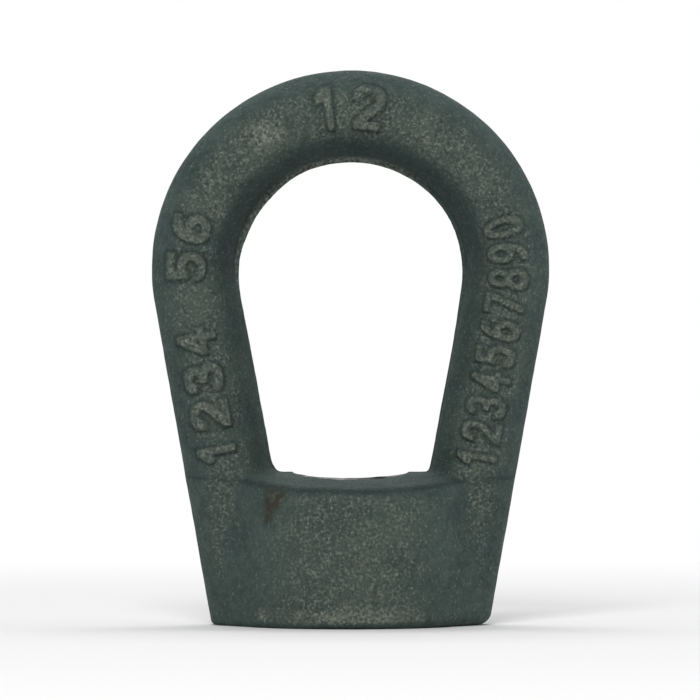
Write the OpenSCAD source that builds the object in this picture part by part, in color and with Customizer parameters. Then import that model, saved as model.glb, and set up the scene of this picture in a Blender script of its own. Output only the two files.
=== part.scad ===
// Bow nut: a round bow over a threaded boss, drop forged in one piece.
// The origin is the middle of the flat seat face, on the axis of the thread.
// Z points up through the eye, and the bow lies in the XZ plane, which is also the parting plane.

/* [Bow] */
// Height over all, from the seat face to the top of the crown
total_h = 79.2; // [72:0.1:86]
// Widest inner width of the eye
eye_w = 31.6; // [28:0.1:36]
// Thickness of the round bar at the crown and the shoulders
bar_d = 12.6; // [10:0.1:14]
// Thickness of each leg where it ends in the seat face
leg_foot_d = 13.0; // [10.5:0.1:14.5]
// Lean of each leg from the vertical, in degrees
leg_lean = 10.4; // [8.5:0.1:12]

/* [Boss] */
// Diameter of the round boss
boss_d = 34.6; // [30:0.1:37]
// Height of the boss along the parting plane
boss_h = 21.8; // [18:0.1:26]
// Draft of the boss's roof towards the front and the back, in degrees
roof_draft = 7.5; // [3:0.5:12]
// Radius of the shoulder between the boss's roof and its round side
shoulder_r = 2.4; // [1:0.1:4]
// Width of the broken edge round the seat face
seat_break = 0.7; // [0.3:0.1:1.2]

/* [Thread] */
// Nominal diameter of the thread
thread_d = 16; // [12:1:18]
// Pitch of the thread
thread_pitch = 2; // [1:0.25:2.5]
// Width by which each chamfered mouth is wider than the thread
mouth_gain = 0.4; // [0.2:0.1:1]

/* [Hidden] */
$fn = 96;

// A cut runs past the surface that it opens by this much
past = 1;
// Each leg is thinner than the bend by a hair and starts a little inside it, so that the skins
// of the two don't touch at a tangent
hair = 0.03;
lap = 0.5;
// The core of a metric thread is narrower than its nominal size by this many pitches
core_per_pitch = 1.0825;

steel = [0.27, 0.31, 0.29];

// The bow: a bar bent round the eye, with the legs leaving the bend at a tangent
bend_r = (eye_w + bar_d) / 2;
bend_z = total_h - eye_w / 2 - bar_d;
lean_out = [cos(leg_lean), -sin(leg_lean)];
lean_down = [-sin(leg_lean), -cos(leg_lean)];
leg_top = [0, bend_z] + bend_r * lean_out;
leg_len = leg_top[1] / cos(leg_lean);
leg_foot = leg_top + leg_len * lean_down;
leg_widening = (leg_foot_d / 2 - bar_d / 2 + hair) / leg_len;

// The boss
boss_r = boss_d / 2;
core_r = (thread_d - core_per_pitch * thread_pitch) / 2;
mouth_r = (thread_d + mouth_gain) / 2;
roof_fall = tan(roof_draft);

function leg_radius(along) = bar_d / 2 - hair + leg_widening * along;

module crown() {
    translate([0, 0, bend_z])
        rotate([90, 0, 0])
            rotate_extrude(angle = 180 + 2 * leg_lean, start = -leg_lean)
                translate([bend_r, 0]) circle(d = bar_d);
}

// Places its children with their Z axis running down the right leg
module down_leg() {
    translate([leg_top[0], 0, leg_top[1]])
        rotate([0, 180 + leg_lean, 0]) children();
}

// The seat face and its broken edge, as room for one leg's foot
module foot_room() {
    edge_r = leg_foot_d / 2;
    wide = leg_foot_d + total_h * tan(leg_lean);
    translate([leg_foot[0], 0, 0])
        rotate_extrude()
            polygon([[0, 0], [edge_r - seat_break, 0], [edge_r, seat_break],
                     [wide, seat_break], [wide, total_h], [0, total_h]]);
}

module leg() {
    reach = leg_len + bar_d;
    intersection() {
        down_leg()
            translate([0, 0, -lap])
                cylinder(h = lap + reach, r1 = leg_radius(-lap), r2 = leg_radius(reach));
        foot_room();
    }
}

// The boss's side, with the broken edge below and the rounded shoulder above, which ends in
// a slope that the roof cuts off
module boss_side() {
    arc_over_roof = 0.2 * shoulder_r;
    arc_step = 20;
    top_slope = 30;
    shoulder_z = boss_h - boss_r * roof_fall - shoulder_r + arc_over_roof;
    arc = [for (a = [0:arc_step:90 - top_slope])
        [boss_r - shoulder_r + shoulder_r * cos(a), shoulder_z + shoulder_r * sin(a)]];
    arc_end = arc[len(arc) - 1];
    rotate_extrude()
        polygon(concat([[0, 0], [boss_r - seat_break, 0], [boss_r, seat_break]], arc,
                       [[0, arc_end[1] + arc_end[0] * tan(top_slope)]]));
}

// The boss under its roof, which slopes to the front and the back from a ridge along X
module boss() {
    half = boss_d;
    intersection() {
        boss_side();
        rotate([90, 0, 90])
            linear_extrude(height = 2 * half, center = true)
                polygon([[-half, -past], [half, -past], [half, boss_h - half * roof_fall],
                         [0, boss_h], [-half, boss_h - half * roof_fall]]);
    }
}

// The tapped hole, with a chamfered mouth at each end
module tapped_hole() {
    slope = mouth_r - core_r;
    translate([0, 0, -past]) cylinder(h = boss_h + 2 * past, r = core_r);
    translate([0, 0, -past]) cylinder(h = slope + past, r1 = mouth_r + past, r2 = core_r);
    translate([0, 0, boss_h - slope]) cylinder(h = slope + past, r1 = core_r, r2 = mouth_r + past);
}

module bow_nut() {
    color(steel)
        difference() {
            union() {
                crown();
                for (side = [0, 1]) {
                    mirror([side, 0, 0]) leg();
                }
                boss();
            }
            tapped_hole();
        }
}

bow_nut();
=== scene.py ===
"""Looks of a forged bow nut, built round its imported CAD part.

The nut is one drop forging: a round bar bent to a bow, whose two legs run into a round boss with
a tapped hole right through it. Shapes are worked out in millimetres on the CAD's own axes, with
the seat face at Z = 0 and the bow in the XZ plane, and go over to metres when a piece is made.
"""

import logging
import math
from dataclasses import dataclass
from enum import Enum
from typing import Callable

import bmesh
import bpy
import numpy as np
from mathutils import Matrix, Vector, noise


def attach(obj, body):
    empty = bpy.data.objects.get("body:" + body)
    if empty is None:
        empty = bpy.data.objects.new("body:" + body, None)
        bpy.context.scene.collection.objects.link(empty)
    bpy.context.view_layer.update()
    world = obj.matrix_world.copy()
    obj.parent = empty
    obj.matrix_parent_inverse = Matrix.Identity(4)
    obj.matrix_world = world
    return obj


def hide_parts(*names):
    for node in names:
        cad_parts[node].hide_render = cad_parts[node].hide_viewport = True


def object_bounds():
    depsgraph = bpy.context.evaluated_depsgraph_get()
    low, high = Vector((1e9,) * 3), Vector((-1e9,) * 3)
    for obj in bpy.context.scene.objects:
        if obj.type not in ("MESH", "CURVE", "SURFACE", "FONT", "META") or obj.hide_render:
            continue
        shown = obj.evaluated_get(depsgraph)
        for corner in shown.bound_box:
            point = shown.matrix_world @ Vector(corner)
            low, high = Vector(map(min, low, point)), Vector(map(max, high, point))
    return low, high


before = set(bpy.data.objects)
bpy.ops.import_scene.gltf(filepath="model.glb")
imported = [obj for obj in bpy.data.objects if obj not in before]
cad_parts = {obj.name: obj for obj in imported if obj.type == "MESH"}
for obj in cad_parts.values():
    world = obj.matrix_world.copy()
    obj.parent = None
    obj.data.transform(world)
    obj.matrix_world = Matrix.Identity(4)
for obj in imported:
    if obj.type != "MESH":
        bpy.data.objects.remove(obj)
CAD_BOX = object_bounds()

MM = 0.001
# Rough shapes run past what trims them by this much, and a distance of FAR means nothing is near
PAST = 4.0
FAR = 9.0
log = logging.getLogger("bow_nut")

Pair = tuple[float, float]
Colour = tuple[float, float, float]
Socket = bpy.types.NodeSocket
Value = Socket | float | Colour


# Shape helpers, all of them on numpy arrays


def smooth_step(low: float, high: float, value: np.ndarray) -> np.ndarray:
    """Rise from 0 to 1 with level ends.

    Args:
        low: Value at which the rise starts.
        high: Value at which it ends.
        value: Values to place on the rise.

    Returns:
        The height of the rise at each value.
    """
    share = np.clip((value - low) / (high - low), 0.0, 1.0)
    return share * share * (3.0 - 2.0 * share)


def rise_from(low: float, ends: Pair, value: np.ndarray) -> np.ndarray:
    """Rise softly from a low share to 1 between two ends."""
    return low + (1.0 - low) * smooth_step(*ends, value)


def fade(away: np.ndarray, half: float) -> np.ndarray:
    """Fall softly from 1 to 0 with distance.

    Args:
        away: Distances.
        half: Distance at which a third is left.

    Returns:
        What is left at each distance.
    """
    return np.exp(-((away / half) ** 2))


def blend_union(first: np.ndarray, second: np.ndarray, reach: np.ndarray) -> np.ndarray:
    """Join two distance fields with a soft fillet between them.

    Args:
        first: Distances to one shape.
        second: Distances to the other.
        reach: How far the fillet reaches, at each point.

    Returns:
        Distances to the joined shape.
    """
    overlap = np.maximum(reach - np.abs(first - second), 0.0) / reach
    return np.minimum(first, second) - overlap * overlap * reach / 4.0


def rounded_cut(first: np.ndarray, second: np.ndarray, radius: np.ndarray) -> np.ndarray:
    """Keep what two distance fields share, with a round edge between them.

    Args:
        first: Distances to one shape.
        second: Distances to the other.
        radius: Radius of the edge, at each point.

    Returns:
        Distances to the shared shape.
    """
    out_first = np.maximum(first + radius, 0.0)
    out_second = np.maximum(second + radius, 0.0)
    inside = np.minimum(np.maximum(first, second) + radius, 0.0)
    return inside + np.hypot(out_first, out_second) - radius


@dataclass(frozen=True)
class Uneven:
    """How something varies from place to place, by smooth noise.

    Attributes:
        most: About the most that it varies, up and down.
        length: Size of the noise's lumps in millimetres.
        seed: Shift that makes one noise differ from the next.
    """

    most: float
    length: float
    seed: float

    def at(self, points: np.ndarray) -> np.ndarray:
        """Return how far off it is at each place."""
        places = (points / self.length + self.seed).tolist()
        return self.most * np.array([noise.noise(place) for place in places])


# Mesh helpers


def coordinates(mesh: bpy.types.Mesh) -> np.ndarray:
    """Read where the mesh's vertices are.

    Args:
        mesh: The mesh.

    Returns:
        Their places, one row each.
    """
    flat = np.empty(len(mesh.vertices) * 3)
    mesh.vertices.foreach_get("co", flat)
    return flat.reshape(-1, 3)


def move_to(mesh: bpy.types.Mesh, places: np.ndarray) -> None:
    """Move the mesh's vertices to the given places."""
    mesh.vertices.foreach_set("co", places.ravel())
    mesh.update()


def to_mesh(shape: bmesh.types.BMesh, name: str) -> bpy.types.Mesh:
    """Turn a finished bmesh into a mesh and free it.

    Args:
        shape: The bmesh.
        name: Name of the new mesh.

    Returns:
        The mesh.
    """
    mesh = bpy.data.meshes.new(name)
    shape.to_mesh(mesh)
    shape.free()
    return mesh


def place(data: bpy.types.ID, name: str) -> bpy.types.Object:
    """Put a mesh, a lamp or a camera into the scene as an object at the origin.

    Args:
        data: The mesh, lamp or camera.
        name: Name of the object.

    Returns:
        The object.
    """
    made = bpy.data.objects.new(name, data)
    bpy.context.scene.collection.objects.link(made)
    return made


def bake_modifiers(piece: bpy.types.Object) -> None:
    """Replace an object's mesh by what its modifiers make of it.

    Args:
        piece: The object.
    """
    seen = piece.evaluated_get(bpy.context.evaluated_depsgraph_get())
    made = bpy.data.meshes.new_from_object(seen)
    piece.modifiers.clear()
    worn_out, piece.data = piece.data, made
    bpy.data.meshes.remove(worn_out)


def trim(shape: bmesh.types.BMesh, point: Vector, facing: Vector) -> None:
    """Cut a closed shape off along a plane and close it again.

    Args:
        shape: The bmesh to cut.
        point: A point of the plane.
        facing: Direction of the side that is cut away.
    """
    bmesh.ops.bisect_plane(
        shape,
        geom=list(shape.verts) + list(shape.edges) + list(shape.faces),
        dist=1e-5,
        plane_co=point,
        plane_no=facing,
        clear_outer=True,
    )
    bmesh.ops.holes_fill(shape, edges=shape.edges)


def verts_and_edges(geometry: list) -> tuple[list, list]:
    """Sort what a bmesh operator returned.

    Args:
        geometry: Its vertices, edges and faces in one list.

    Returns:
        The vertices, and the edges.
    """
    verts = [part for part in geometry if isinstance(part, bmesh.types.BMVert)]
    edges = [part for part in geometry if isinstance(part, bmesh.types.BMEdge)]
    return verts, edges


# Raised numerals


@dataclass(frozen=True)
class Arc:
    """A curved stroke: part of an ellipse, in a box that runs from -1 to 1 both ways."""

    x: float
    y: float
    wide: float
    high: float
    start: float
    end: float

    def points(self) -> np.ndarray:
        """Follow the stroke.

        Returns:
            Close points along it.
        """
        turn = np.radians(np.linspace(self.start, self.end, 48))
        x, y = self.x + self.wide * np.cos(turn), self.y + self.high * np.sin(turn)
        return np.column_stack((x, y))


@dataclass(frozen=True)
class Line:
    """A straight stroke, in the same box."""

    x0: float
    y0: float
    x1: float
    y1: float

    def points(self) -> np.ndarray:
        """Return close points along the stroke."""
        return np.linspace((self.x0, self.y0), (self.x1, self.y1), 32)


NUMERALS = {
    "0": (Arc(0, 0, 1, 1, 0, 360),),
    "1": (Line(0.15, -1, 0.15, 1), Line(-0.6, 0.5, 0.15, 1)),
    "2": (Arc(0, 0.4, 1, 0.6, 165, -30), Line(0.86, 0.1, -1, -1), Line(-1, -1, 1, -1)),
    "3": (Arc(-0.1, 0.5, 0.95, 0.5, 150, -90), Arc(-0.1, -0.5, 1.1, 0.5, 90, -150)),
    "4": (Line(0.4, -1, 0.4, 1), Line(0.4, 1, -1, -0.35), Line(-1, -0.35, 1, -0.35)),
    "5": (
        Line(0.85, 1, -0.75, 1),
        Line(-0.75, 1, -0.8, 0.1),
        Arc(-0.1, -0.35, 1.1, 0.65, 125, -150),
    ),
    "6": (Arc(0, -0.42, 1, 0.58, 0, 360), Arc(0.7, -0.42, 1.7, 1.42, 95, 180)),
    "7": (Line(-1, 1, 1, 1), Line(1, 1, -0.3, -1)),
    "8": (Arc(0, 0.5, 0.88, 0.5, 0, 360), Arc(0, -0.5, 1, 0.5, 0, 360)),
}


class Tops(Enum):
    """Where the tops of a row's numerals point."""

    AWAY_FROM_EYE = 1
    INTO_EYE = -1


@dataclass(frozen=True)
class NumeralRow:
    """A row of raised numerals that follows the bar round the bow.

    Attributes:
        digits: What the row says; a space leaves a gap.
        first: Where its first numeral is, measured from the crown towards the right foot.
        pitch: Distance from one numeral to the next along the bar.
        out: Distance of the row's middle from the middle of the bar, away from the eye.
        high: Height of a numeral over its strokes' outer edges.
        wide: Width of a numeral, measured the same way.
        stroke: Width of a stroke.
        tops: Where the numerals' tops point.
    """

    digits: str
    first: float
    pitch: float
    out: float
    high: float
    wide: float
    stroke: float = 1.2
    tops: Tops = Tops.AWAY_FROM_EYE

    def distance(self, along: np.ndarray, out: np.ndarray) -> np.ndarray:
        """Measure how far points are from the edge of the nearest stroke, cut by a squarish tool.

        Args:
            along: Distance of each point from the crown along the bar.
            out: Its distance from the middle of the bar, away from the eye.

        Returns:
            The distances, negative inside a stroke and large away from the row.
        """
        nearest = np.full(along.shape, FAR)
        half_wide, half_high = (self.wide - self.stroke) / 2, (self.high - self.stroke) / 2
        way = self.tops.value
        for index, digit in enumerate(self.digits):
            if digit == " ":
                continue
            across = (along - self.first) * way - index * self.pitch
            up = (out - self.out) * way
            near = (np.abs(across) < self.wide) & (np.abs(up) < self.high)
            upside_down = digit == "9"
            parts = NUMERALS["6" if upside_down else digit]
            strokes = np.vstack([part.points() for part in parts]) * (-1 if upside_down else 1)
            beside = across[near][:, None] - strokes[:, 0] * half_wide
            above = up[near][:, None] - strokes[:, 1] * half_high
            gaps = (beside**4 + above**4) ** 0.25
            if gaps.size:
                nearest[near] = np.minimum(nearest[near], gaps.min(axis=1) - self.stroke / 2)
        return nearest


# The forging


@dataclass
class Bow:
    """The bar bent round the eye, with its two legs, in millimetres."""

    bend_z: float = 50.85
    bend_r: float = 22.44
    crown_in: float = 0.45
    bar_r: float = 5.94
    crown_gain: float = 0.33
    foot_r: float = 6.16
    lean: float = math.radians(10.3)

    @property
    def leg_top(self) -> Pair:
        """The X and Z at which the right leg leaves the bend."""
        return (
            self.bend_r * math.cos(self.lean),
            self.bend_z - self.bend_r * math.sin(self.lean),
        )

    @property
    def leg_length(self) -> float:
        """Length of a leg from the bend down to the seat face."""
        return self.leg_top[1] / math.cos(self.lean)

    def path(self, points: np.ndarray) -> tuple[np.ndarray, np.ndarray, np.ndarray]:
        """Find where points are along the bar.

        Args:
            points: Places in millimetres.

        Returns:
            Three arrays: the distance along the bar from the crown, which grows towards the right
            foot, the distance from the middle of the bar away from the eye, and the bar's radius.
        """
        side, rise = np.abs(points[:, 0]), points[:, 2] - self.bend_z
        turn = np.arctan2(rise, side)
        lift = np.where(turn > 0, np.sin(turn) ** 2, 0.0)
        bend_r = self.bend_r - self.crown_in * lift
        top_x, top_z = self.leg_top
        down_x, down_z = -math.sin(self.lean), -math.cos(self.lean)
        down = (side - top_x) * down_x + (points[:, 2] - top_z) * down_z
        on_leg = down > 0
        along = np.where(
            on_leg,
            self.bend_r * (math.pi / 2 + self.lean) + down,
            self.bend_r * (math.pi / 2 - turn),
        )
        out = np.where(
            on_leg,
            (side - top_x) * -down_z + (points[:, 2] - top_z) * down_x,
            np.hypot(side, rise) - bend_r,
        )
        widening = (self.foot_r - self.bar_r) / self.leg_length
        radius = self.bar_r + np.where(on_leg, widening * down, self.crown_gain * lift)
        return np.where(points[:, 0] < 0, -along, along), out, radius

    def field(self, points: np.ndarray) -> np.ndarray:
        """Return the distance of each point from the skin of the bar."""
        _, out, radius = self.path(points)
        return np.hypot(out, points[:, 1]) - radius

    def bent_bar(self) -> bpy.types.Mesh:
        """Run a circle up one leg, round the bend and down the other leg.

        Returns:
            The bar, closed, with feet that run past the seat face.
        """
        down = Vector((-math.sin(self.lean), 0, -math.cos(self.lean)))
        top = Vector((self.leg_top[0], 0, self.leg_top[1]))
        foot = top + down * (self.leg_length + PAST)
        shape = bmesh.new()
        ring = bmesh.ops.create_circle(
            shape,
            cap_ends=False,
            segments=48,
            radius=self.bar_r,
            matrix=Matrix.Translation(foot) @ Matrix.Rotation(self.lean, 4, "Y"),
        )["verts"]
        edges = list({edge for vert in ring for edge in vert.link_edges})
        verts, edges = verts_and_edges(bmesh.ops.extrude_edge_only(shape, edges=edges)["geom"])
        edges = [edge for edge in edges if all(vert in verts for vert in edge.verts)]
        bmesh.ops.translate(shape, verts=verts, vec=top - foot)
        bent = bmesh.ops.spin(
            shape,
            geom=verts + edges,
            cent=(0, 0, self.bend_z),
            axis=(0, -1, 0),
            angle=math.pi + 2 * self.lean,
            steps=72,
        )["geom_last"]
        verts, edges = verts_and_edges(bent)
        verts, edges = verts_and_edges(bmesh.ops.extrude_edge_only(shape, edges=edges)["geom"])
        bmesh.ops.translate(shape, verts=verts, vec=(top.x - foot.x, 0, foot.z - top.z))
        bmesh.ops.holes_fill(shape, edges=shape.edges)
        bmesh.ops.recalc_face_normals(shape, faces=shape.faces)
        return to_mesh(shape, "bent_bar")


@dataclass
class Boss:
    """The round boss under its roof, in millimetres."""

    radius: float = 17.3
    height: float = 21.75
    draft: float = math.radians(7.5)
    ridge_soft: float = 0.5
    shoulder: float = 2.0

    def field(self, points: np.ndarray) -> np.ndarray:
        """Measure how far points are from the skin of the boss.

        Args:
            points: Places in millimetres.

        Returns:
            The distances, negative inside.
        """
        wall = np.hypot(points[:, 0], points[:, 1]) - self.radius
        from_ridge = np.hypot(points[:, 1], self.ridge_soft) - self.ridge_soft
        over = points[:, 2] - self.height
        roof = over * math.cos(self.draft) + from_ridge * math.sin(self.draft)
        return rounded_cut(wall, roof, np.full(len(points), self.shoulder))

    def turned(self) -> bpy.types.Mesh:
        """Turn a cylinder and plane its roof down to both sides.

        Returns:
            The boss, with a foot that runs past the seat face.
        """
        depth = self.height + 2 * PAST
        shape = bmesh.new()
        bmesh.ops.create_cone(
            shape,
            cap_ends=True,
            cap_tris=False,
            segments=96,
            radius1=self.radius,
            radius2=self.radius,
            depth=depth,
            matrix=Matrix.Translation((0, 0, depth / 2 - PAST)),
        )
        for front in (-1, 1):
            facing = Vector((0, front * math.sin(self.draft), math.cos(self.draft)))
            trim(shape, Vector((0, 0, self.height)), facing)
        return to_mesh(shape, "turned_boss")


@dataclass
class TappedHole:
    """The tapped hole and its two chamfered mouths, in millimetres."""

    major_r: float = 8.0
    pitch: float = 2.0
    depth_per_pitch: float = 0.54125
    mouth_r: float = 8.25
    steps: int = 84
    below: float = -3.0
    above: float = 25.0

    @property
    def core_r(self) -> float:
        """Radius of the hole over the crests of its thread."""
        return self.major_r - self.depth_per_pitch * self.pitch

    def tap(self) -> bpy.types.Mesh:
        """Sweep one turn's profile up the axis, right-handed, into a closed tool.

        Returns:
            The tool.
        """
        crest, flank, root = self.pitch / 4, self.pitch * 0.3125, self.pitch / 8
        shape = bmesh.new()
        start = shape.verts.new((self.core_r, 0.0, self.below - self.pitch))
        for rise, radius in (
            (crest, self.core_r),
            (flank, self.major_r),
            (root, self.major_r),
            (flank, self.core_r),
        ):
            made = bmesh.ops.extrude_vert_indiv(shape, verts=[start])["verts"]
            made[0].co = (radius, 0.0, start.co.z + rise)
            start = made[0]
        turns = math.ceil((self.above - self.below) / self.pitch) + 2
        bmesh.ops.spin(
            shape,
            geom=list(shape.verts) + list(shape.edges),
            cent=(0, 0, 0),
            axis=(0, 0, 1),
            dvec=(0, 0, self.pitch / self.steps),
            angle=2 * math.pi * turns,
            steps=self.steps * turns,
        )
        bmesh.ops.remove_doubles(shape, verts=shape.verts, dist=0.001)
        for height, facing in ((self.below, -1), (self.above, 1)):
            trim(shape, Vector((0, 0, height)), Vector((0, 0, facing)))
        bmesh.ops.recalc_face_normals(shape, faces=shape.faces)
        bmesh.ops.triangulate(shape, faces=shape.faces)
        return to_mesh(shape, "tap")

    def mouths(self, height: float) -> bpy.types.Mesh:
        """Make the cones that chamfer the two mouths.

        Args:
            height: Height of the boss along its ridge.

        Returns:
            A mesh of two closed cones.
        """
        shape = bmesh.new()
        past = 1.0
        depth = self.mouth_r - self.core_r + past + 0.2
        for middle, narrow_up in ((depth / 2 - past, True), (height + past - depth / 2, False)):
            ends = (self.mouth_r + past, self.mouth_r + past - depth)
            bmesh.ops.create_cone(
                shape,
                cap_ends=True,
                cap_tris=False,
                segments=self.steps,
                radius1=ends[0] if narrow_up else ends[1],
                radius2=ends[1] if narrow_up else ends[0],
                depth=depth,
                matrix=Matrix.Translation((0, 0, middle)),
            )
        bmesh.ops.recalc_face_normals(shape, faces=shape.faces)
        bmesh.ops.triangulate(shape, faces=shape.faces)
        return to_mesh(shape, "mouths")


@dataclass
class Flash:
    """What trimming left of the flash inside the eye, along the parting plane, in millimetres.

    Shares are of its usual height, and each _z pair is two heights between which a share changes.
    """

    bow: Bow
    roof_z: float
    height: float = 0.58
    half_thick: float = 0.5
    flank_soft: float = 0.12
    height_varies: Uneven = Uneven(0.05, 0.7, 2.9)
    starts_inside: float = 0.6
    over_roof_z: Pair = (-0.2, 0.7)
    ridge_share: float = 0.15
    ridge_half_length: float = 10.6
    ridge_reach: float = 1.2
    right_leg_share: float = 0.25
    right_leg_z: Pair = (38.0, 54.0)
    left_leg_share: float = 0.65
    left_leg_z: Pair = (46.0, 52.0)
    left_shoulder_gain: float = 0.7
    left_shoulder_low_z: Pair = (51.0, 57.0)
    left_shoulder_high_z: Pair = (61.0, 66.0)
    crown_z: Pair = (60.0, 66.0)
    strip_on_left: float = 0.3
    strip_gain_on_left: float = 0.25
    left_strip_z: Pair = (38.0, 56.0)
    strip_on_right: float = 0.1

    def room(self, points: np.ndarray) -> np.ndarray:
        """Work out the share of its usual height that the flash has.

        Args:
            points: Places in millimetres.

        Returns:
            The share at each place, 0 off the eye.
        """
        _, out, radius = self.bow.path(points)
        x, _, z = points.T
        over = z - self.roof_z
        right = rise_from(self.right_leg_share, self.right_leg_z, z)
        left = rise_from(self.left_leg_share, self.left_leg_z, z)
        shoulder = smooth_step(*self.left_shoulder_low_z, z)
        shoulder *= 1.0 - smooth_step(*self.left_shoulder_high_z, z)
        left += self.left_shoulder_gain * shoulder
        inner = (out < -self.starts_inside * radius) * smooth_step(*self.over_roof_z, over)
        inner = inner * np.where(x < 0, left, right)
        on_ridge = (np.abs(x) < self.ridge_half_length) & (np.abs(over) < self.ridge_reach)
        return np.maximum(inner, self.ridge_share * on_ridge)

    def rise(self, points: np.ndarray) -> np.ndarray:
        """Work out how far the flash stands out.

        Args:
            points: Places in millimetres.

        Returns:
            Its height at each place in millimetres.
        """
        soft = self.flank_soft
        flank = smooth_step(-soft, soft, self.half_thick - np.abs(points[:, 1]))
        height = self.height * (1.0 + self.height_varies.at(points))
        return height * flank * self.room(points)

    def strip(self, points: np.ndarray) -> np.ndarray:
        """Work out how bright the trimmed strip shows, its flanks taken in.

        Args:
            points: Places in millimetres.

        Returns:
            The brightness at each place, from 0 to 1.
        """
        x, y, z = points.T
        at_crown = smooth_step(*self.crown_z, z)
        near = 1.0 - smooth_step(0.2, 0.45 + 1.1 * at_crown, np.abs(y) - self.half_thick)
        left = self.strip_on_left + self.strip_gain_on_left * smooth_step(*self.left_strip_z, z)
        left += (1.0 - self.strip_on_left - self.strip_gain_on_left) * at_crown
        right = self.strip_on_right + (1.0 - self.strip_on_right) * at_crown
        return near * np.minimum(self.room(points), 1.0) * np.where(x < 0, left, right)

    def from_flank(self, points: np.ndarray) -> np.ndarray:
        """Return how far points are from the flanks of the flash, large where there is none."""
        away = np.abs(np.abs(points[:, 1]) - self.half_thick)
        return np.where(self.room(points) > 0, away, FAR)

    def on_top(self, points: np.ndarray) -> np.ndarray:
        """Say which points lie on the flash or at its edge, where it has some height."""
        return (np.abs(points[:, 1]) < self.half_thick + 0.2) & (self.room(points) > 0.2)


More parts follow.
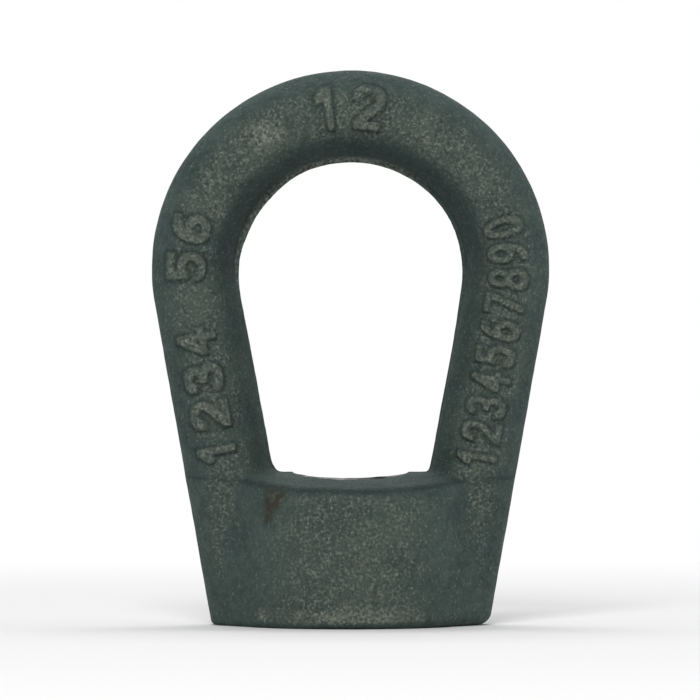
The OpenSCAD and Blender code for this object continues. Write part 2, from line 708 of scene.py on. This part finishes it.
@dataclass
class Forging:
    """The whole forging: bow, boss, raised numerals, flash and tapped hole."""

    bow: Bow
    boss: Boss
    flash: Flash
    hole: TappedHole
    rows: tuple[NumeralRow, ...]
    voxel: float = 0.53
    ridge_fillet: float = 1.0
    left_ridge_fillet: float = 1.8
    ridge_fillet_y: Pair = (0.5, 6.0)
    high_fillet: float = 1.4
    low_fillet: float = 4.5
    low_fillet_z: Pair = (9.0, 20.5)
    seat_edge: float = 1.15
    seat_edge_tilt: float = 0.025
    numeral_height: float = 0.5
    height_varies: Uneven = Uneven(0.4, 4.0, 8.8)
    stroke_edge: Uneven = Uneven(0.08, 0.8, 5.3)
    skin: tuple[Uneven, ...] = (Uneven(0.05, 6.0, 3.1), Uneven(0.03, 1.7, 7.7))
    fine_within: float = 0.7
    seat_band: Pair = (0.01, 1.8)
    finest_within: Pair = (-0.4, 0.35)
    numeral_flank: Pair = (-0.2, 0.16)
    sharp_angle: float = math.radians(20.0)

    def field(self, points: np.ndarray) -> np.ndarray:
        """Measure how far points are from the bare skin of the forging.

        Args:
            points: Places in millimetres.

        Returns:
            The distances, negative inside.
        """
        x, y, z = points.T
        low = 1.0 - smooth_step(*self.low_fillet_z, z)
        ridge = np.where(x < 0, self.left_ridge_fillet, self.ridge_fillet)
        high = ridge + (self.high_fillet - ridge) * smooth_step(*self.ridge_fillet_y, np.abs(y))
        reach = high + (self.low_fillet * self.valley(points) - high) * low
        bow, boss = self.bow.field(points), self.boss.field(points)
        body = blend_union(bow, boss, np.maximum(reach, 0.05))
        return rounded_cut(body, -z, self.seat_edge + self.seat_edge_tilt * x)

    def valley(self, points: np.ndarray) -> np.ndarray:
        """Work out how far the skins of leg and boss turn from each other.

        Args:
            points: Places in millimetres.

        Returns:
            A number for each place, 0 where they run level.
        """
        _, out, _ = self.bow.path(points)
        side = np.abs(points[:, 0])
        from_leg = np.maximum(np.hypot(out, points[:, 1]), 1e-6)
        from_axis = np.maximum(np.hypot(side, points[:, 1]), 1e-6)
        level = (out * math.cos(self.bow.lean) * side + points[:, 1] ** 2) / (from_leg * from_axis)
        return np.sqrt(np.clip(1.0 - level, 0.0, 1.0))

    def slope(self, points: np.ndarray) -> np.ndarray:
        """Find the direction in which the field grows, which is the skin's outward normal.

        Args:
            points: Places in millimetres.

        Returns:
            The direction at each place, of length 1.
        """
        step = 0.02
        slope = np.empty_like(points)
        for axis in range(3):
            shift = np.zeros(3)
            shift[axis] = step
            slope[:, axis] = self.field(points + shift) - self.field(points - shift)
        return slope / np.maximum(np.linalg.norm(slope, axis=1, keepdims=True), 1e-9)

    def numeral_distance(self, points: np.ndarray) -> np.ndarray:
        """Measure how far points of the front are from the edge of the nearest stroke.

        Args:
            points: Places in millimetres.

        Returns:
            The distances, negative inside a stroke and large away from the rows.
        """
        along, out, _ = self.bow.path(points)
        nearest = np.full(len(points), FAR)
        front = points[:, 1] < -1.0
        for row in self.rows:
            found = row.distance(along[front], out[front])
            nearest[front] = np.minimum(nearest[front], found)
        return nearest

    def blank(self) -> bpy.types.Mesh:
        """Set the bent bar over the turned boss and cut both off at the seat.

        Returns:
            The blank.
        """
        shape = bmesh.new()
        for rough_part in (self.bow.bent_bar(), self.boss.turned()):
            shape.from_mesh(rough_part)
            bpy.data.meshes.remove(rough_part)
        trim(shape, Vector((0, 0, 0)), Vector((0, 0, -1)))
        bmesh.ops.recalc_face_normals(shape, faces=shape.faces)
        return to_mesh(shape, "blank")

    def press(self, mesh: bpy.types.Mesh, rounds: int, ease: float = 0.5) -> None:
        """Press the mesh onto the skin, evening out its vertices along the way.

        Args:
            mesh: The mesh to move.
            rounds: How often its vertices are evened out and pressed.
            ease: Share of the way that each vertex goes to the middle of its neighbours.
        """
        ends = np.empty(len(mesh.edges) * 2, dtype=np.int64)
        mesh.edges.foreach_get("vertices", ends)
        first, second = ends[0::2], ends[1::2]
        count = len(mesh.vertices)
        links = np.maximum(np.bincount(ends, minlength=count), 1)[:, None]
        places = coordinates(mesh)
        for _ in range(rounds):
            middle = np.column_stack(
                [
                    np.bincount(first, places[second, axis], count)
                    + np.bincount(second, places[first, axis], count)
                    for axis in range(3)
                ]
            )
            places += ease * (middle / links - places)
            for _ in range(2):
                places -= self.field(places)[:, None] * self.slope(places)
        move_to(mesh, places)

    def refine(self, mesh: bpy.types.Mesh, wanted: Callable[[np.ndarray], np.ndarray]) -> None:
        """Divide the faces that need more detail, and press them onto the skin.

        Args:
            mesh: The mesh to divide.
            wanted: Says of each face's middle whether the face is to be divided.
        """
        middles = np.empty(len(mesh.polygons) * 3)
        mesh.polygons.foreach_get("center", middles)
        chosen = wanted(middles.reshape(-1, 3))
        shape = bmesh.new()
        shape.from_mesh(mesh)
        shape.faces.ensure_lookup_table()
        edges = {edge for index in np.flatnonzero(chosen) for edge in shape.faces[index].edges}
        bmesh.ops.subdivide_edges(shape, edges=list(edges), cuts=1, use_grid_fill=True)
        shape.to_mesh(mesh)
        shape.free()
        self.press(mesh, rounds=1, ease=0.25)

    def wants_some(self, points: np.ndarray) -> np.ndarray:
        """Say where the mesh is to be finer: numerals, flash and the edge round the seat.

        Args:
            points: Places in millimetres.

        Returns:
            Whether it is, for each place.
        """
        low, high = self.seat_band
        near_seat = (points[:, 2] < high) & (points[:, 2] > low)
        away = np.minimum(self.numeral_distance(points), self.flash.from_flank(points))
        return (away < self.fine_within) | near_seat

    def wants_more(self, points: np.ndarray) -> np.ndarray:
        """Say where the mesh is to be finest: the flanks of the numerals, and the flash.

        Args:
            points: Places in millimetres.

        Returns:
            Whether it is, for each place.
        """
        low, high = self.finest_within
        away = self.numeral_distance(points)
        return ((away > low) & (away < high)) | self.flash.on_top(points)

    def strike(self, mesh: bpy.types.Mesh) -> None:
        """Raise the numerals and the flash, and roughen the skin as a forging's is.

        Args:
            mesh: The mesh to move.
        """
        places = coordinates(mesh)
        outward = self.slope(places)
        relief = self.numeral_height * (1.0 + self.height_varies.at(places))
        rise = relief * self.numeral_share(places) + self.flash.rise(places)
        off_seat = smooth_step(0.0, 1.2, places[:, 2])
        lumps = sum(lump.at(places) for lump in self.skin)
        move_to(mesh, places + outward * (rise + lumps * off_seat)[:, None])

    def numeral_share(self, points: np.ndarray) -> np.ndarray:
        """Work out how far up on a numeral each place is.

        Args:
            points: Places in millimetres.

        Returns:
            From 0 on the skin to 1 on a numeral's top.
        """
        away = self.numeral_distance(points)
        near = away < 1.4
        away[near] += self.stroke_edge.at(points[near])
        return 1.0 - smooth_step(*self.numeral_flank, away)

    def hammered(self) -> bpy.types.Object:
        """Forge the blank: remesh it, press it onto the skin and strike the detail into it.

        Returns:
            The forging, still without its hole.
        """
        piece = place(self.blank(), "bow_nut_forging")
        remesh = piece.modifiers.new("even", "REMESH")
        remesh.mode = "VOXEL"
        remesh.voxel_size = self.voxel
        bake_modifiers(piece)
        self.press(piece.data, rounds=8)
        self.refine(piece.data, self.wants_some)
        self.refine(piece.data, self.wants_more)
        self.strike(piece.data)
        return piece

    def tapped(self, piece: bpy.types.Object) -> None:
        """Chamfer the mouths of the hole and cut its thread, in the second material slot.

        Args:
            piece: The forging.
        """
        slots = (None, None)
        for slot in slots:
            piece.data.materials.append(slot)
        for mesh in (self.hole.mouths(self.boss.height), self.hole.tap()):
            tool = place(mesh, mesh.name)
            for slot in slots:
                mesh.materials.append(slot)
            mesh.polygons.foreach_set("material_index", [1] * len(mesh.polygons))
            cut = piece.modifiers.new("cut", "BOOLEAN")
            cut.operation = "DIFFERENCE"
            cut.solver = "MANIFOLD"
            cut.object = tool
            bake_modifiers(piece)
            bpy.data.objects.remove(tool)
            bpy.data.meshes.remove(mesh)

    def build(self) -> bpy.types.Object:
        """Forge, tap and weather the nut, paint its light and shade, and bring it to metres.

        Returns:
            The nut as one piece.
        """
        piece = self.hammered()
        self.tapped(piece)
        WearAndPaintedLight(self).mark(piece.data)
        piece.data.shade_smooth()
        self.sharpen(piece.data)
        piece.data.transform(Matrix.Scale(MM, 4))
        return piece

    def sharpen(self, mesh: bpy.types.Mesh) -> None:
        """Keep the edges of the thread sharp, and those of the trimmed flash.

        Args:
            mesh: The mesh to mark.
        """
        trimmed = self.flash.strip(coordinates(mesh)) > 0.1
        shape = bmesh.new()
        shape.from_mesh(mesh)
        for edge in shape.edges:
            cut = any(face.material_index == 1 for face in edge.link_faces)
            crisp = cut or all(trimmed[vert.index] for vert in edge.verts)
            edge.smooth = not (crisp and edge.calc_face_angle(0.0) > self.sharp_angle)
        shape.to_mesh(mesh)
        shape.free()


@dataclass
class WearAndPaintedLight:
    """What blasting, use and age have left on the forging, and its painted light and shade, as
    shares from 0 to 1.

    Each _z pair is two heights between which a share changes, and each _at pair an X and a Z.
    """

    forging: Forging
    # Painted shade on the inner side of the bow: the heights over which it grows, its share on the
    # legs, where it starts across the bar and how ragged that edge is
    eye_shade_z: Pair = (38.0, 56.0)
    eye_shade_on_legs: float = 0.2
    eye_shade_from: Pair = (0.22, 0.38)
    eye_shade_edge: Uneven = Uneven(0.07, 1.6, 4.3)
    # Painted light: how far a face turns to the front or back before it is lightened and warmed,
    # and more coarsely blasted
    blast_and_light_facing: Pair = (0.7, 0.97)
    blast_and_light_edge: Uneven = Uneven(0.1, 2.5, 9.1)
    numeral_tops: float = 0.35
    foot_z: Pair = (1.0, 2.5)
    foot_x: float = 0.3
    foot_half_length: float = 7.5
    foot_edge: Uneven = Uneven(0.5, 1.2, 6.1)
    nick_at: Pair = (-12.5, 1.8)
    nick_half_width: float = 0.8
    patch_at: Pair = (-12.3, 69.6)
    patch_half_width: float = 1.9
    # Painted shade: a dark rim round the numerals (with dirt), a dark line along the roof's edge,
    # the inner side of the eye, and darkening on the roof
    numeral_rim: float = 0.65
    rim_half_width: float = 0.22
    roof_line: float = 0.75
    line_half_height: float = 0.32
    eye_shade: float = 0.43
    roof_darkening: float = 0.2
    rust_x: Pair = (-12.7, -8.4)
    rust_z: Pair = (14.0, 19.4)

    def over_roof(self, points: np.ndarray) -> np.ndarray:
        """Return how high points are over the planes of the boss's roof."""
        boss = self.forging.boss
        return points[:, 2] - boss.height + np.abs(points[:, 1]) * math.tan(boss.draft)

    def eye_side(self, points: np.ndarray) -> np.ndarray:
        """Work out how much each place is on the inner side of the bow, which is painted in shade.

        Args:
            points: Places in millimetres.

        Returns:
            A share from 0 to 1 for each place.
        """
        _, out, radius = self.forging.bow.path(points)
        up = smooth_step(*self.eye_shade_z, points[:, 2])
        low, high = self.eye_shade_from
        start = low + (high - low) * up + self.eye_shade_edge.at(points)
        inward = smooth_step(0.0, 0.22, -out / radius - start)
        off_roof = smooth_step(0.3, 2.0, self.over_roof(points))
        return inward * rise_from(self.eye_shade_on_legs, self.eye_shade_z, points[:, 2]) * off_roof

    def blast_and_front_light(self, points: np.ndarray) -> np.ndarray:
        """Return how coarsely each place is blasted, and how much painted front light lightens and
        warms it: most where it faces front or back.
        """
        # painted light: lighter and warmer where the skin faces front or back
        facing = np.abs(self.forging.slope(points)[:, 1])
        return smooth_step(*self.blast_and_light_facing, facing + self.blast_and_light_edge.at(points))

    def worn(self, points: np.ndarray) -> np.ndarray:
        """Work out how bright each place is worn: numerals, flash, foot and two spots.

        Args:
            points: Places in millimetres.

        Returns:
            A share from 0 to 1 for each place.
        """
        forging = self.forging
        x, y, z = points.T
        tops = self.numeral_tops * (1.0 - smooth_step(-0.2, 0.1, forging.numeral_distance(points)))
        low, high = self.foot_z
        ragged = z + self.foot_edge.at(points)
        foot = smooth_step(low - 0.3, low, ragged)
        foot *= 1.0 - smooth_step(high - 0.8, high + 0.9, ragged)
        foot *= fade(x - self.foot_x, self.foot_half_length)
        nick = fade(np.hypot(x - self.nick_at[0], z - self.nick_at[1]), self.nick_half_width)
        patch = fade(np.hypot(x - self.patch_at[0], z - self.patch_at[1]), self.patch_half_width)
        in_front = smooth_step(2.0, 4.0, -y) * np.maximum.reduce([foot, nick, patch])
        return np.maximum.reduce([tops, forging.flash.strip(points), in_front])

    def shade_and_dirt(self, points: np.ndarray) -> np.ndarray:
        """Work out how dark each place is painted: painted shade with dirt round the numerals,
        painted shade along the roof's edge and in the eye, and darker on the roof.

        Args:
            points: Places in millimetres.

        Returns:
            A share from 0 to 1 for each place.
        """
        forging = self.forging
        # painted shade, with dirt, in a dark rim round each numeral
        from_rim = forging.numeral_distance(points) - self.rim_half_width
        rim = self.numeral_rim * fade(from_rim, self.rim_half_width)
        over = self.over_roof(points)
        from_edge = np.hypot(points[:, 0], points[:, 1]) - forging.boss.radius + 1.5
        # painted shade: a dark line along the roof's edge, where the roof turns down into the wall
        line = fade(over + 0.3, self.line_half_height) * smooth_step(-0.8, 0.2, from_edge)
        # painted shade on the inner side of the bow, where the legs face each other and under the
        # crown
        inner = self.eye_shade * self.eye_side(points) * (1.0 - forging.flash.strip(points))
        # darker on the roof planes
        roof = self.roof_darkening * smooth_step(-0.35, -0.1, over) * (over < 1.0)
        return np.maximum.reduce([rim, self.roof_line * line, inner, roof])

    def rust(self, points: np.ndarray) -> np.ndarray:
        """Work out how rusty each place is: a run that narrows downwards under the roof.

        Args:
            points: Places in millimetres.

        Returns:
            A share from 0 to 1 for each place.
        """
        x, y, z = points.T
        low, high = self.rust_z
        left, right = self.rust_x
        fall = (high - z) / (high - low)
        edge = right - (right - left) * 0.8 * np.clip(fall, 0.0, 1.0)
        across = smooth_step(left, left + 1.0, x) * (1.0 - smooth_step(edge - 0.9, edge + 0.6, x))
        ends = smooth_step(-0.25, 0.15, fall) * (1.0 - smooth_step(0.8, 1.15, fall))
        return across * ends * (y < 0)

    def mark(self, mesh: bpy.types.Mesh) -> None:
        """Store each share on the mesh's vertices, for the finish to read.

        Args:
            mesh: The mesh to mark.
        """
        places = coordinates(mesh)
        for share in (self.blast_and_front_light, self.worn, self.shade_and_dirt, self.rust):
            layer = mesh.attributes.new(share.__name__, "FLOAT", "POINT")
            layer.data.foreach_set("value", np.clip(share(places), 0.0, 1.0).astype(np.float32))


# Finishes


class NodeBoard:
    """The node tree of a material or a world, with short calls to lay nodes on it."""

    def __init__(self, owner: bpy.types.Material | bpy.types.World) -> None:
        """Start with an empty node tree.

        Args:
            owner: The material or world.
        """
        owner.use_nodes = True
        self.tree = owner.node_tree
        self.tree.nodes.clear()

    def feed(self, end: Socket, value: Value) -> None:
        """Link an input to another node's output, or set it to a number or a colour.

        Args:
            end: The input.
            value: The output, number or colour.
        """
        if isinstance(value, Socket):
            self.tree.links.new(value, end)
        else:
            end.default_value = (*value, 1.0) if isinstance(value, tuple) else value

    def node(
        self, kind: str, inputs: dict[str | int, Value] | None = None, **settings: object
    ) -> bpy.types.Node:
        """Lay a node.

        Args:
            kind: Type of the node.
            inputs: What goes into its inputs, by their names or numbers.
            settings: Values of the node's own properties.

        Returns:
            The node.
        """
        made = self.tree.nodes.new(kind)
        for name, value in settings.items():
            setattr(made, name, value)
        for name, value in (inputs or {}).items():
            self.feed(made.inputs[name], value)
        return made

    def share(self, name: str) -> Socket:
        """Read a share that is stored on the piece's vertices."""
        return self.node("ShaderNodeAttribute", attribute_name=name).outputs["Fac"]

    def seen(self) -> Socket:
        """Tell the rays that show the background, straight, in a reflection or through glass.

        Returns:
            1 for those rays and 0 for the others.
        """
        rays = self.node("ShaderNodeLightPath").outputs
        mirrored = self.maths("MAXIMUM", rays["Is Glossy Ray"], rays["Is Transmission Ray"])
        return self.maths("MAXIMUM", mirrored, rays["Is Camera Ray"])

    def lumps(self, size: float, detail: float = 2.0, roughness: float = 0.5) -> Socket:
        """Make noise on object coordinates.

        Args:
            size: Size of its lumps in millimetres.
            detail: How many finer layers it has.
            roughness: How strong the finer layers are.

        Returns:
            The noise, about 0.5 on average.
        """
        noisy = {"Scale": 1.0 / (size * MM), "Detail": detail, "Roughness": roughness}
        noisy["Vector"] = self.node("ShaderNodeTexCoord").outputs["Object"]
        return self.node("ShaderNodeTexNoise", noisy).outputs["Fac"]

    def spread(self, value: Socket, low: float, high: float, to: Pair = (0.0, 1.0)) -> Socket:
        """Stretch a value from one range to another, with soft ends.

        Args:
            value: The value.
            low: Value that goes to the start of the new range.
            high: Value that goes to its end.
            to: Start and end of the new range.

        Returns:
            The stretched value.
        """
        ends = {"From Min": low, "From Max": high, "To Min": to[0], "To Max": to[1]}
        made = self.node(
            "ShaderNodeMapRange", {"Value": value, **ends}, interpolation_type="SMOOTHSTEP"
        )
        return made.outputs["Result"]

    def maths(self, kind: str, first: Socket, second: Socket | float) -> Socket:
        """Combine a value with a value or a number.

        Args:
            kind: What to do with them.
            first: The first value.
            second: The second one.

        Returns:
            The result.
        """
        made = self.node("ShaderNodeMath", {0: first, 1: second}, operation=kind)
        return made.outputs["Value"]

    def times(self, first: Socket, second: Socket | float) -> Socket:
        """Multiply a value by a value or a number."""
        return self.maths("MULTIPLY", first, second)

    def mix(self, share: Socket, first: Socket | Colour, second: Socket | Colour) -> Socket:
        """Mix a colour into a colour.

        Args:
            share: Share of the second colour.
            first: The first colour, from a socket or as numbers.
            second: The second colour, given the same way.

        Returns:
            The mixed colour.
        """
        sockets = {"Factor": share, 6: first, 7: second}
        return self.node("ShaderNodeMix", sockets, data_type="RGBA").outputs[2]

    def bump(self, height: Socket, depth: float, under: Socket | None = None) -> Socket:
        """Turn a height into a bumpy normal.

        Args:
            height: The height, from 0 to 1.
            depth: How deep it is, in millimetres.
            under: A bumpy normal that it lies on.

        Returns:
            The normal.
        """
        inputs = {"Height": height, "Distance": depth * MM}
        if under is not None:
            inputs["Normal"] = under
        return self.node("ShaderNodeBump", inputs).outputs["Normal"]

    def show(self, shader: Socket, output: str = "ShaderNodeOutputMaterial") -> None:
        """Link a shader to the output."""
        self.node(output, {"Surface": shader})


@dataclass(frozen=True)
class Patches:
    """Soft patches in a finish, drawn from noise.

    Attributes:
        size: Size of a patch in millimetres.
        low: Noise at which a patch starts.
        high: Noise at which it is full.
        to: Value off a patch and on it.
        detail: How many finer layers the noise has.
        roughness: How strong they are.
    """

    size: float
    low: float
    high: float
    to: Pair = (0.0, 1.0)
    detail: float = 3.0
    roughness: float = 0.6

    def lay(self, board: NodeBoard) -> Socket:
        """Lay the patches' nodes on a board."""
        noisy = board.lumps(self.size, self.detail, self.roughness)
        return board.spread(noisy, self.low, self.high, self.to)


@dataclass(frozen=True)
class BlastedScale:
    """The skin of a forging: dark scale, blasted to a dull grain, with worn spots, some rust,
    painted front light and painted shade.
    """

    dark: Colour = (0.032, 0.049, 0.045)
    light: Colour = (0.057, 0.081, 0.073)
    # painted light: the lighter warm tone where the skin faces front or back
    front_light_warm: Colour = (0.071, 0.091, 0.076)
    worn: Colour = (0.130, 0.148, 0.122)
    speck: Colour = (0.28, 0.30, 0.26)
    # also the colour of the painted shade
    pit_and_shade: Colour = (0.014, 0.024, 0.024)
    rust: Colour = (0.036, 0.032, 0.022)
    metallic: float = 0.15
    shine: float = 0.08
    # strength of the painted shade and dirt
    shade_and_dirt_strength: float = 0.75
    grain: float = 0.42
    grain_depth: float = 0.09
    lump: float = 1.6
    lump_depth: float = 0.12
    front_light_by_tone: Pair = (0.35, 0.95)
    pit_grain: Pair = (0.32, 0.5)
    pit_share: Pair = (0.2, 0.55)
    speck_grain: Pair = (0.56, 0.82)
    speck_share: float = 0.52
    specks_on_clumps: float = 0.09
    specks_on_worn: float = 0.06
    roughness: Pair = (0.85, 0.65)
    grain_strength: Pair = (0.4, 1.0)
    clouds: Patches = Patches(7.0, 0.32, 0.68, roughness=0.5)
    blotches: Patches = Patches(1.3, 0.3, 0.7)
    scrapes: Patches = Patches(0.55, 0.36, 0.62)
    clumps: Patches = Patches(1.7, 0.33, 0.62, (0.3, 1.0))
    stains: Patches = Patches(1.0, 0.3, 0.55, (0.2, 0.95), roughness=0.5)

    def material(self) -> bpy.types.Material:
        """Build the finish.

        Returns:
            Its material.
        """
        material = bpy.data.materials.new("blasted_scale")
        board = NodeBoard(material)
        names = ("blast_and_front_light", "worn", "shade_and_dirt", "rust")
        blast_and_front_light, worn, shade_and_dirt, rust = (board.share(name) for name in names)
        clouds, blotches = self.clouds.lay(board), self.blotches.lay(board)
        tone = board.maths("ADD", board.times(clouds, 0.5), board.times(blotches, 0.5))
        grain = board.lumps(self.grain, 4.0, 0.64)
        coarse = board.maths("MAXIMUM", blast_and_front_light, worn)
        clumps = board.times(coarse, self.clumps.lay(board))
        pits = board.spread(grain, *self.pit_grain, (1.0, 0.0))
        bright = board.lumps(self.grain, 4.0, 0.66)
        bright = board.maths("ADD", bright, board.times(clumps, self.specks_on_clumps))
        bright = board.maths("ADD", bright, board.times(worn, self.specks_on_worn))
        colour = board.mix(tone, self.dark, self.light)
        for share, coat in (
            # painted front light: a lighter warm tone where the skin faces front or back
            (board.times(blast_and_front_light, board.spread(tone, 0.0, 1.0, self.front_light_by_tone)), self.front_light_warm),
            (board.times(worn, self.scrapes.lay(board)), self.worn),
            (board.times(pits, board.spread(clumps, 0.0, 1.0, self.pit_share)), self.pit_and_shade),
            (board.spread(bright, *self.speck_grain, (0.0, self.speck_share)), self.speck),
            # painted shade and dirt: round the numerals, along the roof's edge and in the eye
            (board.times(shade_and_dirt, self.shade_and_dirt_strength), self.pit_and_shade),
            (board.times(rust, self.stains.lay(board)), self.rust),
        ):
            colour = board.mix(share, colour, coat)
        lumpy = board.bump(board.lumps(self.lump), self.lump_depth)
        grainy = board.bump(grain, self.grain_depth, lumpy)
        strength = board.spread(coarse, 0.0, 1.0, self.grain_strength)
        board.feed(grainy.node.inputs["Strength"], strength)
        skin = {
            "Base Color": colour,
            "Metallic": self.metallic,
            "Roughness": board.spread(grain, 0.3, 0.7, self.roughness),
            "Specular IOR Level": self.shine,
            "Normal": grainy,
        }
        board.show(board.node("ShaderNodeBsdfPrincipled", skin).outputs["BSDF"])
        return material


@dataclass(frozen=True)
class CutSteel:
    """Steel as the tap leaves it, greyed by time, with the fine marks of the cut round the axis."""

    dark: Colour = (0.13, 0.135, 0.135)
    light: Colour = (0.25, 0.255, 0.25)
    metallic: float = 0.85
    clouds: Patches = Patches(1.8, 0.3, 0.7, detail=4.0)
    sheen: Patches = Patches(0.8, 0.3, 0.7, (0.34, 0.52), roughness=0.5)
    mark: float = 0.25
    mark_depth: float = 0.02

    def material(self) -> bpy.types.Material:
        """Build the finish.

        Returns:
            Its material.
        """
        material = bpy.data.materials.new("cut_steel")
        board = NodeBoard(material)
        skin = {
            "Base Color": board.mix(self.clouds.lay(board), self.dark, self.light),
            "Metallic": self.metallic,
            "Roughness": self.sheen.lay(board),
            "Normal": board.bump(board.lumps(self.mark), self.mark_depth),
        }
        board.show(board.node("ShaderNodeBsdfPrincipled", skin).outputs["BSDF"])
        return material


# Studio


@dataclass(frozen=True)
class SoftBox:
    """A soft area lamp that faces the nut.

    Attributes:
        name: Name of the lamp.
        at: Its place in metres.
        size: Its width and height in metres.
        power: Its power in watts.
    """

    name: str
    at: tuple[float, float, float]
    size: Pair
    power: float

    def hang(self, aim: Vector) -> None:
        """Hang the lamp and turn it to a point.

        Args:
            aim: The point.
        """
        lamp = bpy.data.lights.new(self.name, "AREA")
        lamp.shape = "RECTANGLE"
        lamp.size, lamp.size_y = self.size
        lamp.energy = self.power
        hung = place(lamp, self.name)
        hung.location = self.at
        hung.rotation_euler = (aim - Vector(self.at)).to_track_quat("-Z", "Y").to_euler()


@dataclass(frozen=True)
class Studio:
    """A pale floor, soft lamps and the photograph's camera."""

    distance: float = 0.943
    eye_level: float = 0.0392
    lens: float = 339.5
    film: float = 36.0
    floor_half: float = 3.0
    floor_gap: float = 0.00003
    paper: float = 0.8
    paper_roughness: float = 0.9
    air: float = 0.205
    paper_near: float = 0.09
    paper_far: float = 0.3
    lamps: tuple[SoftBox, ...] = (
        SoftBox("front_box", (-0.1, -0.85, 0.65), (0.35, 0.35), 7.45),
        SoftBox("top_box", (0.0, 0.3, 0.75), (0.6, 0.4), 3.4),
        SoftBox("left_box", (-0.8, 0.12, 0.1), (0.3, 0.3), 1.3),
        SoftBox("right_box", (0.8, 0.12, 0.1), (0.3, 0.3), 2.4),
    )

    def camera(self) -> None:
        """Set the camera up level with the middle of the picture."""
        lens = bpy.data.cameras.new("camera")
        lens.lens = self.lens
        lens.sensor_width = self.film
        lens.clip_start, lens.clip_end = 0.05, 20.0
        stand = place(lens, "camera")
        stand.location = (-0.07 * MM, -self.distance, self.eye_level)
        stand.rotation_euler = (math.pi / 2, 0.0, 0.0)
        bpy.context.scene.camera = stand

    def floor(self) -> None:
        """Lay the floor, which goes over to white far off and keeps the nut's shadow."""
        shape = bmesh.new()
        bmesh.ops.create_grid(shape, x_segments=4, y_segments=4, size=self.floor_half)
        bmesh.ops.translate(shape, verts=shape.verts, vec=(0, 0, -self.floor_gap))
        laid = place(to_mesh(shape, "floor"), "floor")
        material = bpy.data.materials.new("pale_paper")
        board = NodeBoard(material)
        colour = (self.paper, self.paper, self.paper)
        matt = {"Base Color": colour, "Metallic": 0.0, "Roughness": self.paper_roughness}
        paper = board.node("ShaderNodeBsdfPrincipled", matt)
        place_on = board.node("ShaderNodeTexCoord").outputs["Object"]
        reach = board.node("ShaderNodeVectorMath", {0: place_on}, operation="LENGTH")
        far = board.spread(reach.outputs["Value"], self.paper_near, self.paper_far)
        white = board.node("ShaderNodeEmission").outputs["Emission"]
        sides = {"Fac": board.times(far, board.seen()), 1: paper.outputs["BSDF"], 2: white}
        both = board.node("ShaderNodeMixShader", sides)
        board.show(both.outputs["Shader"])
        laid.data.materials.append(material)

    def sky(self) -> None:
        """Fill the air with soft light, and show white wherever the background is seen."""
        world = bpy.data.worlds.new("air")
        bpy.context.scene.world = world
        board = NodeBoard(world)
        strength = board.spread(board.seen(), 0.0, 1.0, (self.air, 1.0))
        inputs = {"Color": (1.0, 1.0, 1.0), "Strength": strength}
        white = board.node("ShaderNodeBackground", inputs)
        board.show(white.outputs["Background"], "ShaderNodeOutputWorld")

    def build(self, aim: Vector) -> None:
        """Set up the camera, the floor, the air and the lamps.

        Args:
            aim: The point that the lamps face.
        """
        self.camera()
        self.floor()
        self.sky()
        for lamp in self.lamps:
            lamp.hang(aim)
        bpy.context.scene.view_settings.view_transform = "Standard"


def main() -> None:
    """Build the bow nut and its studio, and report the pieces."""
    logging.basicConfig(level=logging.INFO, format="%(name)s: %(message)s")
    rows = (
        NumeralRow("12", -3.3, 5.8, 0.9, 6.3, 4.3),
        NumeralRow("1234 56", -61.6, 5.3, 0.9, 5.6, 4.1),
        NumeralRow("1234567890", 62.6, 3.68, 0.0, 5.6, 2.9, 0.92, Tops.INTO_EYE),
    )
    bow, boss = Bow(), Boss()
    nut = Forging(bow, boss, Flash(bow, boss.height), TappedHole(), rows).build()
    for slot, finish in enumerate((BlastedScale(), CutSteel())):
        nut.data.materials[slot] = finish.material()
    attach(nut, "root")
    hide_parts("bow_nut")
    triangles = sum(len(face.vertices) - 2 for face in nut.data.polygons)
    log.info("%s: %d triangles", nut.name, triangles)
    low, high = CAD_BOX
    Studio().build((low + high) / 2)


if __name__ == "__main__":
    main()
